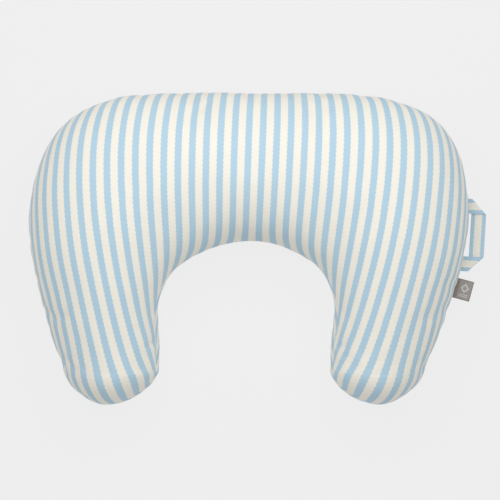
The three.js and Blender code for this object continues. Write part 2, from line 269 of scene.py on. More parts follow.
def ticking(name, uv_map):
    look = Look(name, CREAM[:3], 0.92, sheen=0.12)
    vector, across, down = look.map(uv_map)
    yarn = look.grain(vector, YARN_SCALE, 3)
    cloud = look.grain(vector, CLOUD_SCALE, 2)
    lane = (across / STRIPE_PITCH + 0.5).fraction() - 0.5
    side = look.math("SIGN", lane)
    beat = (down / SCALLOP_PITCH + side * 0.25) * TURN
    scallop = beat.sine() * SCALLOP_DEPTH
    edge = abs(lane) + scallop + (yarn - 0.5) * EDGE_FUZZ
    cream = look.step(edge, BLUE_SHARE / 2 - EDGE_BLUR, BLUE_SHARE / 2 + EDGE_BLUR)
    blue_yarn = look.mix(yarn * 0.6 + cloud * 0.4, BLUE, BLUE_LIGHT)
    cream_yarn = look.mix(yarn * 0.5 + cloud * 0.5, CREAM_SHADE, CREAM)
    look.set("Base Color", look.mix(cream, blue_yarn, cream_yarn))
    look.set("Roughness", 0.86 + yarn * 0.12)
    wale = (across / RIB_PITCH * TURN).sine()
    course = (down / (RIB_PITCH * 1.25) * TURN + wale * 1.2).sine()
    knit = wale * 0.28 + course * 0.22 + yarn * 0.35 + scallop * 6
    look.bump(knit, KNIT_RELIEF, 0.7)
    return look.material


cover_cloth = ticking("striped_cotton", "cut")
print("stripes:", round(BLUE_SHARE * STRIPE_PITCH / MM, 1), "mm of blue each")

# %% [markdown]
# ## Plain finishes
# The casing is a white pressed fabric with small dimples, the filling is
# fluffy fibre, the zip tape is a herringbone weave, the coil is satin nylon,
# the slider is brushed nickel, and the thread is twisted.

# %% Plain finishes
def casing_cloth():
    look = Look("casing_cloth", (0.88, 0.87, 0.84), 0.95, sheen=0.1)
    inputs = {"Vector": look.place(), "Scale": 500}
    dimple = look.node("ShaderNodeTexVoronoi", {}, inputs, "Distance")
    tone = look.grain(look.place(), 60)
    look.tint(tone, (0.84, 0.83, 0.80), (0.9, 0.89, 0.87))
    look.bump(dimple, 0.25 * MM, 0.6)
    return look.material


def fibre_fluff():
    look = Look("fibre_fluff", (0.93, 0.93, 0.92), 1.0, sheen=0.3)
    strands = look.grain(look.place(), 260, 6, 0.7)
    look.tint(strands, (0.82, 0.82, 0.81), (0.95, 0.95, 0.94))
    look.bump(strands, 1.2 * MM, 0.8)
    return look.material


def zip_tape():
    look = Look("zip_tape", (0.80, 0.76, 0.66), 0.85, sheen=0.1)
    along_tape, _, across_tape = look.parts(look.place())
    zigzag = abs((across_tape / (4 * MM)).fraction() - 0.5) * 2
    twill = ((along_tape / (0.9 * MM) + zigzag * 2) * TURN).sine() * 0.5 + 0.5
    look.tint(twill, (0.66, 0.62, 0.53), (0.83, 0.79, 0.70))
    look.bump(twill, 0.15 * MM, 0.7)
    return look.material


def coil_nylon():
    look = Look("coil_nylon", (0.80, 0.77, 0.68), 0.38)
    tone = look.grain(look.place(), 700)
    look.set("Roughness", 0.3 + tone * 0.2)
    look.tint(tone, (0.74, 0.71, 0.62), (0.84, 0.81, 0.73))
    return look.material


def nickel():
    look = Look("nickel", (0.62, 0.62, 0.63), 0.3, metallic=1.0)
    inputs = {"Vector": look.place(), "Scale": (120, 2500, 2500)}
    brushed = look.node("ShaderNodeMapping", {}, inputs)
    streaks = look.grain(brushed, 1, 3)
    wear = look.grain(look.place(), 400)
    look.set("Roughness", 0.22 + streaks * 0.2 + wear * 0.1)
    look.tint(wear, (0.52, 0.52, 0.53), (0.70, 0.70, 0.71))
    look.bump(streaks, 0.03 * MM, 0.5)
    return look.material


def sewing_thread(name, colour):
    look = Look(name, colour, 0.6, sheen=0.1)
    twist = look.node("ShaderNodeTexWave", {}, {"Vector": look.place(), "Scale": 900}, "Fac")
    look.tint(twist, tuple(part * 0.82 for part in colour), colour)
    look.bump(twist, 0.08 * MM, 0.6)
    return look.material


casing = casing_cloth()
fluff = fibre_fluff()
tape = zip_tape()
nylon = coil_nylon()
metal = nickel()
thread = sewing_thread("ecru_thread", (0.80, 0.77, 0.69))
print("finishes:", len(bpy.data.materials))

# %% [markdown]
# ## The pillow's shape
# Seen from above the pillow is a thick C. Two smooth edges, the outer and the
# inner, are drawn through a few points; a rung joins each pair of points at
# the same share of the way from the middle to the leg's end, and the crown
# line runs through the rungs' middles. Each leg ends in a half ellipse, which
# tapers to carry on the outer edge's slope and has its tip a bit outwards.
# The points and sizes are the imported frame's. On top of them the front leans
# a little to one side, as a filled cushion does when it is put down.

# %% Edges
OUTER_EDGE = [
    (0, 94.6), (66, 94.6), (128, 93.4), (178, 85.6), (229, 61), (259, 24),
    (277, -33), (279, -96), (256, -192), (230, -262),
]
INNER_EDGE = [
    (0, -94.6), (51, -104.8), (92.7, -130.4), (109, -160), (113.5, -190),
    (110, -230), (110, -262),
]
CAP_LENGTH = 40 * MM
CAP_TAPER = 0.12
CAP_DRIFT = 0.06
LEAN = 0.031
LEAN_CENTRE = -0.12
EDGE_STEPS = 24


def smooth_edge(stations):
    """Points along a centripetal Catmull-Rom curve, from the middle out."""
    right = [Vector(point) * MM for point in stations]
    mirror_point = Vector((-right[1].x, right[1].y))
    beyond = 2 * right[-1] - right[-2]
    knots = [mirror_point, *right, beyond]
    points = []
    for before, start, stop, after in zip(knots, knots[1:], knots[2:], knots[3:]):
        spans = (start - before, stop - start, after - stop)
        gaps = [math.sqrt(span.length) for span in spans]
        leave = (start - before) / gaps[0] - (stop - before) / (gaps[0] + gaps[1])
        leave = (leave + (stop - start) / gaps[1]) * gaps[1]
        arrive = (stop - start) / gaps[1] - (after - start) / (gaps[1] + gaps[2])
        arrive = (arrive + (after - stop) / gaps[2]) * gaps[1]
        for step in range(EDGE_STEPS):
            t = step / EDGE_STEPS
            cubic = 2 * start - 2 * stop + leave + arrive
            square = 3 * stop - 3 * start - 2 * leave - arrive
            points.append(start + leave * t + square * t**2 + cubic * t**3)
    return [*points, right[-1]]


class Edge:
    def __init__(self, stations):
        self.points = smooth_edge(stations)
        self.run = [0.0]
        for a, b in zip(self.points, self.points[1:]):
            self.run.append(self.run[-1] + (b - a).length)

    def at(self, share):
        wanted = share * self.run[-1]
        index = 0
        while index < len(self.run) - 2 and self.run[index + 1] < wanted:
            index += 1
        gap = self.run[index + 1] - self.run[index]
        part = (wanted - self.run[index]) / gap
        return self.points[index].lerp(self.points[index + 1], part)


outer_edge = Edge(OUTER_EDGE)
inner_edge = Edge(INNER_EDGE)
lengths = [round(edge.run[-1], 3) for edge in (outer_edge, inner_edge)]
print("outer and inner edge, from the middle:", lengths, "m")

# %% [markdown]
# A section across any rung is a full, rounded form: high above its widest
# line, a little less deep below it, and flat where it lies on the floor. The
# seam runs along the widest line, dips below it at the back, where the zip
# is, and climbs above it on the inner side of the legs.

# %% Sections
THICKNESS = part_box("cover_top_panel")[1][2]
TIP_THICKNESS = 130 * MM
EQUATOR_SHARE = 0.455
SECTION_POWER = 2.2
SAG = 9 * MM
SEAM_AT_BACK = -16 * MM
SEAM_AT_SIDE = -4 * MM
SEAM_AT_INNER_LEG = 15 * MM
THINS_FROM = 0.45
OUTER_SEAM_RISES = (0.26, 0.5)
INNER_SEAM_RISES = (0.35, 0.65)
SIDE_STEPS = 96
CAP_STEPS = 22
ROWS = 24


def ease(low, high, value):
    """From 0 at low to 1 at high, level at both ends."""
    t = min(max((value - low) / (high - low), 0), 1)
    return t * t * (3 - 2 * t)


class Station:
    """A point of the edge, with what the section behind it needs to know."""

    def __init__(self, edge, foot, share, inward):
        self.edge, self.foot, self.share, self.inward = edge, foot, share, inward
        thick = THICKNESS + (TIP_THICKNESS - THICKNESS) * ease(THINS_FROM, 1, share)
        self.equator = EQUATOR_SHARE * thick
        self.above = thick - self.equator
        self.below = self.equator + SAG
        outer = SEAM_AT_BACK
        outer += (SEAM_AT_SIDE - SEAM_AT_BACK) * ease(*OUTER_SEAM_RISES, share)
        inner = SEAM_AT_INNER_LEG * ease(*INNER_SEAM_RISES, share)
        self.seam = outer + (inner - outer) * inward

    def angle(self, rise):
        """Where on the section a point this far above the widest line is."""
        height = self.above if rise >= 0 else self.below
        return math.copysign(math.asin((abs(rise) / height) ** (SECTION_POWER / 2)), rise)

    def point(self, angle, side=0.0, crown=0.0):
        """A point of the section, from a layer this far inside the surface."""
        outwards = self.edge - self.foot
        power = 2 / SECTION_POWER
        reach = (outwards.length - side) * max(math.cos(angle), 0) ** power
        height = (self.above if angle >= 0 else self.below) - crown
        rise = math.copysign(height * abs(math.sin(angle)) ** power, angle)
        flat = self.foot + outwards.normalized() * reach
        z = max(self.equator + rise, crown)
        return Vector((flat.x + LEAN * (flat.y - LEAN_CENTRE), flat.y, z))


def rung(share):
    """The outer point, the inner point and the crown line's between them."""
    outer, inner = outer_edge.at(share), inner_edge.at(share)
    return outer, inner, (outer + inner) / 2


def half_ring():
    """The stations from the back, round one leg's end, in to the arch."""
    stations = []
    for step in range(SIDE_STEPS):
        outer, _, foot = rung(step / SIDE_STEPS)
        stations.append(Station(outer, foot, step / SIDE_STEPS, 0))
    outer, _, foot = rung(1)
    across = outer - foot
    ahead = Vector((across.y, -across.x)).normalized() * CAP_LENGTH
    for step in range(CAP_STEPS):
        turn = math.pi * step / CAP_STEPS
        lean = CAP_DRIFT * math.sin(turn) ** 2 - CAP_TAPER * math.sin(2 * turn)
        edge = foot + across * (math.cos(turn) + lean) + ahead * math.sin(turn)
        stations.append(Station(edge, foot, 1, (1 - math.cos(turn)) / 2))
    for step in range(SIDE_STEPS, -1, -1):
        _, inner, foot = rung(step / SIDE_STEPS)
        stations.append(Station(inner, foot, step / SIDE_STEPS, 1))
    return stations


def mirrored(station):
    flip = Vector((-1, 1))
    edge, foot = station.edge * flip, station.foot * flip
    return Station(edge, foot, station.share, station.inward)


right_half = half_ring()
ring = right_half + [mirrored(station) for station in right_half[-2:0:-1]]
print("stations round the seam:", len(ring))

# %% [markdown]
# ## One closed form
# Cover, casing and filling are the same form at different depths, so one
# helper makes them all. It starts from a flat grid: the columns go round the
# seam and the rows run from the belly, over the seam, up to the crown. Each
# vertex is put at its own place on its section, the grid's last column is
# merged with its first, and the two sides meet in the crown and belly lines.
# Each vertex keeps its row and its distance from the seam for later steps,
# and each face corner keeps its place on the grid, in a UV map.

# %% Form helper
def corners(form):
    return (loop for face in form.faces for loop in face.loops)


def closed_form(side=0.0, crown=0.0, rows=ROWS, step=1):
    stations = ring[::step]
    count = len(stations)
    form = bmesh.new()
    bmesh.ops.create_grid(form, x_segments=count, y_segments=2 * rows, size=1)
    row_of = form.verts.layers.int.new("row")
    from_seam = form.verts.layers.float.new("from_seam")
    outward = form.verts.layers.float_vector.new("outward")
    grid = form.loops.layers.uv.new("grid")
    for loop in corners(form):
        loop[grid].uv = (loop.vert.co.x + 1) / 2, (loop.vert.co.y + 1) / 2
    sections = []
    for station in stations:
        low, high = -math.pi / 2, math.pi / 2
        start = station.angle(station.seam)
        below = [low + (start - low) * row / rows for row in range(rows)]
        above = [start + (high - start) * row / rows for row in range(rows + 1)]
        sections.append([station.point(angle, side, crown) for angle in below + above])
    for vert in form.verts:
        column = round((vert.co.x + 1) / 2 * count) % count
        level = round((vert.co.y + 1) * rows)
        section = sections[column]
        path = section[min(level, rows):max(level, rows) + 1]
        vert.co = section[level]
        vert[row_of] = level - rows
        vert[from_seam] = sum((b - a).length for a, b in zip(path, path[1:]))
        out = stations[column].edge - stations[column].foot
        vert[outward] = out.normalized().to_3d()
    bmesh.ops.remove_doubles(form, verts=form.verts, dist=0.02 * MM)
    bmesh.ops.dissolve_degenerate(form, edges=form.edges, dist=0.01 * MM)
    bmesh.ops.recalc_face_normals(form, faces=form.faces)
    for edge in form.edges:
        edge.seam = edge.verts[0][row_of] == 0 and edge.verts[1][row_of] == 0
    return form


def to_object(form, name, *materials):
    for face in form.faces:
        face.smooth = True
    mesh = bpy.data.meshes.new(name)
    form.to_mesh(mesh)
    form.free()
    piece = bpy.data.objects.new(name, mesh)
    for material in materials:
        mesh.materials.append(material)
    scene.collection.objects.link(piece)
    return piece


def thicken(piece, thickness, offset=0):
    """Makes a sheet solid: half to each side, or all inwards at -1."""
    modifier = piece.modifiers.new("cloth", "SOLIDIFY")
    modifier.thickness = thickness
    modifier.offset = offset


def dress(piece, node, body="pillow"):
    """Hides the frame's part that a piece stands in for, and hangs the piece on the body it rides."""
    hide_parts(node)
    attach(piece, body)


cushion = to_object(closed_form(), "cushion")
print("cushion:", len(cushion.data.vertices), "vertices")

# %% [markdown]
# ## Laying the cloth flat
# Each panel is cut from flat striped cloth and eased over the filling, so
# its stripes run straight over the crown and pull together at the sides. To
# find them, a coarser copy of the form is cut at its seam and each panel is
# laid flat with the least stretch, which settles faster on few faces. Each
# flat panel is then turned and scaled so that its directions are X and Y in
# metres at the panel's middle. The knit gives a little round the bend, so the
# pattern is widened down the legs. The result is carried over to the fine
# form by each corner's place on the grid.

# %% Flat maps
LEG_STRETCH = 0.30
UNWRAP_ROUNDS = 80
MIDDLE_HALF = Vector((40 * MM, 30 * MM))


def flattened(step, rows):
    """For each panel, a table of flat places by column and level of the grid."""
    copy = to_object(closed_form(rows=rows, step=step), "coarse_copy")
    mesh = copy.data
    bpy.context.view_layer.objects.active = copy
    copy.select_set(True)
    mesh.uv_layers.active = mesh.uv_layers.new(name="cut")
    bpy.ops.object.mode_set(mode="EDIT")
    bpy.ops.mesh.select_all(action="SELECT")
    bpy.ops.uv.unwrap(
        method="MINIMUM_STRETCH", fill_holes=False, correct_aspect=False,
        margin=0, iterations=UNWRAP_ROUNDS,
    )
    bpy.ops.object.mode_set(mode="OBJECT")
    count = len(ring[::step])
    tables = {side: np.zeros((count + 1, 2 * rows + 1, 2)) for side in (True, False)}
    middles = {True: [], False: []}
    grid, cut = mesh.uv_layers["grid"].uv, mesh.uv_layers["cut"].uv
    for face in mesh.polygons:
        is_top = sum(grid[index].vector.y - 0.5 for index in face.loop_indices) > 0
        for index in face.loop_indices:
            column, level = grid[index].vector
            tables[is_top][round(column * count), round(level * 2 * rows)] = cut[index].vector
            place = mesh.vertices[mesh.loops[index].vertex_index].co
            if abs(place.x) < MIDDLE_HALF.x and abs(place.y) < MIDDLE_HALF.y:
                middles[is_top].append((place.x, place.y, 1, *cut[index].vector))
    bpy.data.objects.remove(copy)
    for is_top, middle in middles.items():
        middle = np.array(middle)
        fit = np.linalg.lstsq(middle[:, :3], middle[:, 3:], rcond=None)[0]
        flat = (tables[is_top] - fit[2]) @ np.linalg.inv(fit[:2])
        flat[..., 0] += (LEG_STRETCH * flat[..., 0] - LEAN) * flat[..., 1]
        tables[is_top] = flat
    return tables


def lay_out(mesh, tables):
    """Gives a fine form its cut map, between the tables' four nearest places."""
    grid = mesh.uv_layers["grid"].uv
    cut = mesh.uv_layers.new(name="cut").uv
    for face in mesh.polygons:
        is_top = sum(grid[index].vector.y - 0.5 for index in face.loop_indices) > 0
        table = tables[is_top]
        for index in face.loop_indices:
            column = grid[index].vector.x * (table.shape[0] - 1)
            level = grid[index].vector.y * (table.shape[1] - 1)
            i, j = min(int(column), table.shape[0] - 2), min(int(level), table.shape[1] - 2)
            if is_top:
                j = max(j, table.shape[1] // 2)
            else:
                j = min(j, table.shape[1] // 2 - 1)
            across, up = column - i, level - j
            near = table[i, j] * (1 - up) + table[i, j + 1] * up
            far = table[i + 1, j] * (1 - up) + table[i + 1, j + 1] * up
            cut[index].vector = near * (1 - across) + far * across


flat_tables = flattened(step=2, rows=ROWS // 2)
lay_out(cushion.data, flat_tables)
for is_top, table in flat_tables.items():
    extent = np.ptp(table[table.any(axis=2)], axis=0).round(3)
    print("top" if is_top else "bottom", "panel laid flat:", extent, "m")

# %% [markdown]
# ## Stuffing it
# The drawn form is too even. A short cloth simulation blows the cover up
# from inside, with a little more cloth than the form needs, so that it
# bulges between the seams and wrinkles where cloth is to spare. The seam and
# the part that lies on the floor are pinned. No point may end up more than a
# few millimetres away. The result is written into the mesh.

# %% Cloth simulation
LARGEST_MOVE = 4 * MM
FRAMES = 20
STUFFING = {
    "quality": 5, "mass": 0.3, "tension_stiffness": 12, "compression_stiffness": 12,
    "shear_stiffness": 4, "bending_stiffness": 0.6, "vertex_group_mass": "pinned",
    "use_pressure": True, "uniform_pressure_force": 4, "shrink_min": -0.014,
}


def stuff(piece):
    """Runs the simulation, keeps its result and says how far it went."""
    mesh = piece.data
    rows = mesh.attributes["row"].data
    pinned = piece.vertex_groups.new(name="pinned")
    held = [
        vert.index for vert in mesh.vertices
        if abs(rows[vert.index].value) < 2 or vert.co.z < 1 * MM
    ]
    pinned.add(held, 1.0, "REPLACE")
    modifier = piece.modifiers.new("stuffing", "CLOTH")
    for name, value in STUFFING.items():
        setattr(modifier.settings, name, value)
    modifier.settings.effector_weights.gravity = 0
    modifier.collision_settings.use_collision = False
    modifier.point_cache.frame_end = FRAMES
    for frame_number in range(1, FRAMES + 1):
        scene.frame_set(frame_number)
    evaluated = piece.evaluated_get(bpy.context.evaluated_depsgraph_get())
    stuffed = [vert.co.copy() for vert in evaluated.data.vertices]
    piece.modifiers.remove(modifier)
    piece.vertex_groups.remove(pinned)
    scene.frame_set(1)
    furthest = 0
    for vert, place in zip(mesh.vertices, stuffed):
        move = place - vert.co
        furthest = max(furthest, move.length)
        if move.length > LARGEST_MOVE:
            move *= LARGEST_MOVE / move.length
        vert.co += move
        vert.co.z = max(vert.co.z, 0)
    return furthest


print("stuffed: cloth moved up to", round(stuff(cushion) / MM, 1), "mm")

# %% [markdown]
# ## Seam groove, puckers and lumps
# The cloth dips where it is drawn into the seam and puckers a little beside
# it. Loose fibre is never even, so the form also has broad, shallow lumps.
# Each is a move along the surface's own direction, worked out from the
# distance to the seam or from smooth noise.

# %% Surface relief
GROOVE_DEPTH = 2.6 * MM
GROOVE_WIDTH = 5.5 * MM
PUCKER_DEPTH = 0.9 * MM
PUCKER_REACH = 16 * MM
PUCKER_SCALE = Vector((75, 75, 20))
LUMPS = [(0.11, 2.0 * MM), (0.045, 0.8 * MM)]


def relief(form):
    from_seam = form.verts.layers.float["from_seam"]
    form.normal_update()
    moves = []
    for vert in form.verts:
        gap = vert[from_seam]
        move = -GROOVE_DEPTH * math.exp(-((gap / GROOVE_WIDTH) ** 2))
        fade = math.exp(-((gap / PUCKER_REACH) ** 2)) * ease(0, 4 * MM, gap)
        move += PUCKER_DEPTH * fade * noise.noise(vert.co * PUCKER_SCALE)
        for length, depth in LUMPS:
            move += depth * noise.noise(vert.co / length + Vector((3, 7, 1)))
        rest = ease(0, 12 * MM, vert.co.z)
        moves.append(vert.normal * move * rest)
    for vert, move in zip(form.verts, moves):
        vert.co += move
        vert.co.z = max(vert.co.z, 0)


form = bmesh.new()
form.from_mesh(cushion.data)
relief(form)
form.to_mesh(cushion.data)
form.free()
print("crown:", round(max(vert.co.z for vert in cushion.data.vertices), 3), "m high")

# %% [markdown]
# ## Two cover panels
# The cover is two panels sewn together right sides in, then turned. Each is
# one half of the form, cut away at the seam row. At the middle of the back
# the edges stand apart for the zip. The cut edge is extruded inwards as the
# seam allowance, then the sheet gets its thickness and one subdivision.

# %% Panel helper
ZIP_HALF = 115 * MM
SLOT_HALF = 5 * MM
ALLOWANCE = 6 * MM
CLOTH = 1.0 * MM
TURN_IN = 1.2 * MM
ZIP_UP = Vector((0, 0.1576, 0.9875))
SLOT_FADE = 30 * MM
BACK_FROM = 80 * MM


def open_slot(form, is_top):
    """Moves the cloth beside the zip away from the seam line."""
    from_seam = form.verts.layers.float["from_seam"]
    for vert in form.verts:
        if vert.co.y < BACK_FROM:
            continue
        ends = ease(ZIP_HALF + 3 * MM, ZIP_HALF - 2 * MM, abs(vert.co.x))
        fade = max(1 - vert[from_seam] / SLOT_FADE, 0)
        shift = ZIP_UP * SLOT_HALF * ends * fade
        vert.co += shift if is_top else -shift


def keep_panel(form, is_top):
    """Cuts the form at its seam row and keeps one panel of it."""
    row_of = form.verts.layers.int["row"]
    other = [
        face for face in form.faces
        if (sum(vert[row_of] for vert in face.verts) > 0) != is_top
    ]
    bmesh.ops.delete(form, geom=other, context="FACES")


def cover_panel(name, is_top):
    form = bmesh.new()
    form.from_mesh(cushion.data)
    outward = form.verts.layers.float_vector["outward"]
    keep_panel(form, is_top)
    open_slot(form, is_top)
    rim = [edge for edge in form.edges if edge.is_boundary]
    for depth in (TURN_IN, ALLOWANCE):
        turned = bmesh.ops.extrude_edge_only(form, edges=rim)["geom"]
        for vert in (item for item in turned if isinstance(item, bmesh.types.BMVert)):
            vert.co -= vert[outward] * depth
        edges = [item for item in turned if isinstance(item, bmesh.types.BMEdge)]
        rim = [edge for edge in edges if edge.is_boundary]
    bmesh.ops.recalc_face_normals(form, faces=form.faces)
    way = 1 if is_top else -1
    crown = max(form.faces, key=lambda face: face.calc_center_median().z * way)
    if (crown.normal.z > 0) != is_top:
        bmesh.ops.reverse_faces(form, faces=form.faces)
    piece = to_object(form, name, cover_cloth)
    smooth = piece.modifiers.new("smooth", "SUBSURF")
    smooth.levels = smooth.render_levels = 1
    thicken(piece, CLOTH, offset=-1)
    return piece


top = cover_panel("cover_top", True)
bottom = cover_panel("cover_bottom", False)
for piece, node in ((top, "cover_top_panel"), (bottom, "cover_bottom_panel")):
    dress(piece, node)
bpy.data.objects.remove(cushion)
print("cover panels:", len(top.data.polygons), "and", len(bottom.data.polygons), "faces")

# %% [markdown]
# ## Places on the seam
# The strap, the label and the zip each have their own frame on the seam. A
# matrix moves and turns a piece from its own frame to its place: X points
# out of the seam and Y runs along it for strap and label, and for the zip X
# runs along it, Y points out of the cloth and Z across it.

# %% Frames on the seam
def seam_frame(place, turn, axis):
    return Matrix.Translation(Vector(place) * MM) @ Matrix.Rotation(turn, 4, axis)


strap_frame = seam_frame((276.899, -86.0, 64.891), -0.061770, "Z")
label_frame = seam_frame((266.940, -154.0, 59.811), -0.263833, "Z")
zip_frame = seam_frame((0, 93.474, 59.075), -0.158289, "X")
heights = [round(place.translation.z, 3) for place in (strap_frame, label_frame, zip_frame)]
print("strap, label and zip are", heights, "m up")

# %% [markdown]
# ## The carrying strap
# The strap is a strip of the cover cloth, doubled to 19 mm, with its raw
# edges turned in and stitched. Its ends go into the side seam 74 mm apart.
# It leaves the seam straight, is folded over on the diagonal, and runs down
# beside the pillow with its other side up. A fold keeps every length of the
# cloth, so the strap is made flat and each point is carried through the two
# diagonal folds, where the cloth turns over on a small radius.

# %% Strap
STRAP = 19 * MM
STRAP_CLOTH = 1.1 * MM
STRAP_SPACING = 74 * MM
RUN_CENTRE = 17.4 * MM
RUN_SAG = 0.5 * MM
STRAP_ROOT = -4 * MM
FOLD_RADIUS = 0.8 * MM


def turn_over(point, line_at, sign):
    """Folds a point of the flat strap over the diagonal through (line_at, 0)."""
    ahead = Vector((1, sign)) / math.sqrt(2)
    past = (point.x + sign * point.y - line_at) / math.sqrt(2)
    half_turn = math.pi / 2 * FOLD_RADIUS
    slack = FOLD_RADIUS * (math.pi / 2 - 1)
    if past <= -half_turn:
        return point, -FOLD_RADIUS
    if past >= half_turn:
        new = -FOLD_RADIUS - (past - half_turn) - slack
        height = FOLD_RADIUS
    else:
        new = FOLD_RADIUS * (math.cos(past / FOLD_RADIUS) - 1) - slack
        height = FOLD_RADIUS * math.sin(past / FOLD_RADIUS)
    flat = point.to_2d() + ahead * (new - past)
    return Vector((flat.x, flat.y, point.z)), height


def run_sag(down):
    """How far the strap's run hangs, this far from its middle."""
    return RUN_SAG * math.sin(math.pi * min(abs(down) / (STRAP_SPACING / 2), 1))


def make_strap():
    half_length = STRAP_SPACING / 2 + RUN_CENTRE - STRAP_ROOT
    line_at = RUN_CENTRE + STRAP_SPACING / 2
    strip = bmesh.new()
    bmesh.ops.create_grid(strip, x_segments=12, y_segments=280, size=0.5)
    flat = strip.loops.layers.uv.new("cut")
    for loop in corners(strip):
        across, down = loop.vert.co.x * STRAP, loop.vert.co.y * 2 * half_length
        loop[flat].uv = (across + STRIPE_PITCH / 2, down)
    for vert in strip.verts:
        across, down = vert.co.x * STRAP, vert.co.y * 2 * half_length
        sign = 1 if down >= 0 else -1
        edge = abs(vert.co.x * 2)
        point = Vector((RUN_CENTRE + across, down, 0))
        point, height = turn_over(point, line_at, sign)
        wave = 0.35 * MM * noise.noise(Vector((down, across, 0)) * 60)
        lift = height + wave - run_sag(down) + 0.25 * MM * (1 - edge**4)
        vert.co = strap_frame @ Vector((point.x, point.y, lift))
    strap = to_object(strip, "carry_strap", cover_cloth)
    thicken(strap, STRAP_CLOTH)
    rounded = strap.modifiers.new("edges", "BEVEL")
    rounded.width = 0.35 * MM
    rounded.segments = 2
    return strap, 2 * half_length


strap, strap_length = make_strap()
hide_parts("carry_handle")
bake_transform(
    strap, "pillow", "handle",
    start=strap_frame @ Vector((1.2 * MM, 0, 0)),
    end=strap_frame @ Vector((4.0 * MM, 0, 0)),
)
print("strap, laid flat:", round(strap_length / MM), "mm long")

# %% [markdown]
# ## Stitches
# A row of stitches is one small bead of thread repeated. A helper lays beads
# along a path: each is a short round bar, bevelled at both ends.

# %% Stitch helper
def beads(name, path, length, radius, material):
    """Beads of thread centred on each pair (point, direction) of a path."""
    row = bmesh.new()
    for centre, direction in path:
        turn = Vector(direction).to_track_quat("Z", "Y").to_matrix().to_4x4()
        place = Matrix.Translation(centre) @ turn
        made = bmesh.ops.create_cone(
            row, cap_ends=True, segments=6, radius1=radius, radius2=radius,
            depth=length, matrix=place,
        )["verts"]
        ends = {face for vert in made for face in vert.link_faces if len(face.verts) == 6}
        for face in ends:
            middle = face.calc_center_median()
            bmesh.ops.scale(
                row, vec=(0.55, 0.55, 0.55), verts=face.verts,
                space=Matrix.Translation(-middle),
            )
    return to_object(row, name, material)


def strap_stitches():
    """Two rows along the strap's run, close to its edges."""
    path = []
    for across in (-STRAP / 2 + 1.8 * MM, STRAP / 2 - 1.8 * MM):
        reach = STRAP_SPACING / 2 - across - 1 * MM
        count = int(2 * reach / (3.2 * MM))
        for step in range(count + 1):
            down = -reach + 2 * reach * step / count
            lift = -FOLD_RADIUS - run_sag(down) + 0.72 * MM
            point = Vector((RUN_CENTRE + across, down, lift))
            path.append((strap_frame @ point, strap_frame.to_3x3() @ Vector((0, 1, 0))))
    return path


stitch_path = strap_stitches()
strap_thread = beads("strap_stitches", stitch_path, 2.3 * MM, 0.22 * MM, thread)
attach(strap_thread, "handle")
print("stitches along the strap:", len(stitch_path))

# %% [markdown]
# ## Sewn ends of the strap
# Each end of the strap is caught between the two panels, inside the seam: a
# short pressed block of cloth, with the zigzag that holds it on top.

# %% Sewn ends
END_SIZE = (6 * MM, 18.6 * MM, 1.5 * MM, 1)
END_DEPTH = -3.4 * MM
TACKS = 24
TACK_WIDTH = 17 * MM


def strap_end(name, node, along_seam):
    """The end of the strap inside the seam, held by a zigzag of thread."""
    end = bmesh.new()
    bmesh.ops.create_cube(end, size=1, matrix=Matrix.Diagonal(END_SIZE))
    bmesh.ops.bevel(
        end, geom=end.edges[:], offset=0.5 * MM, segments=3, profile=0.5,
        affect="EDGES", material=-1,
    )
    place = strap_frame @ Matrix.Translation((END_DEPTH, along_seam, 0))
    bmesh.ops.transform(end, matrix=place, verts=end.verts)
    flat = end.loops.layers.uv.new("cut")
    for loop in corners(end):
        local = strap_frame.inverted() @ loop.vert.co
        loop[flat].uv = (local.y - along_seam + STRIPE_PITCH / 2, local.x)
    dress(to_object(end, name, cover_cloth), node)
    path = []
    for step in range(TACKS):
        across = along_seam + TACK_WIDTH * (step / (TACKS - 1) - 0.5)
        lean = Vector((1, 0.35 if step % 2 else -0.35, 0))
        centre = strap_frame @ Vector((END_DEPTH, across, 0.85 * MM))
        path.append((centre, strap_frame.to_3x3() @ lean))
    tack = beads(name + "_tack", path, 3.4 * MM, 0.2 * MM, thread)
    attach(tack, "pillow")


strap_end("strap_end_rear", "handle_end_rear", STRAP_SPACING / 2)
strap_end("strap_end_front", "handle_end_front", -STRAP_SPACING / 2)
print("strap ends:", round(STRAP_SPACING / MM), "mm apart")

# %% [markdown]
# ## The woven label
# A narrow tape of taupe damask, folded in half so that both cut ends are in
# the seam. It is a flat strip taken round a tight fold at its outer end. The
# motif is a plain one: a border, a small diamond and two bars.

# %% Label cloth
LABEL_WIDTH = 26 * MM
LABEL_REACH = 20.6 * MM
LABEL_FOLD = 0.42 * MM
LABEL_ROOT = -4 * MM


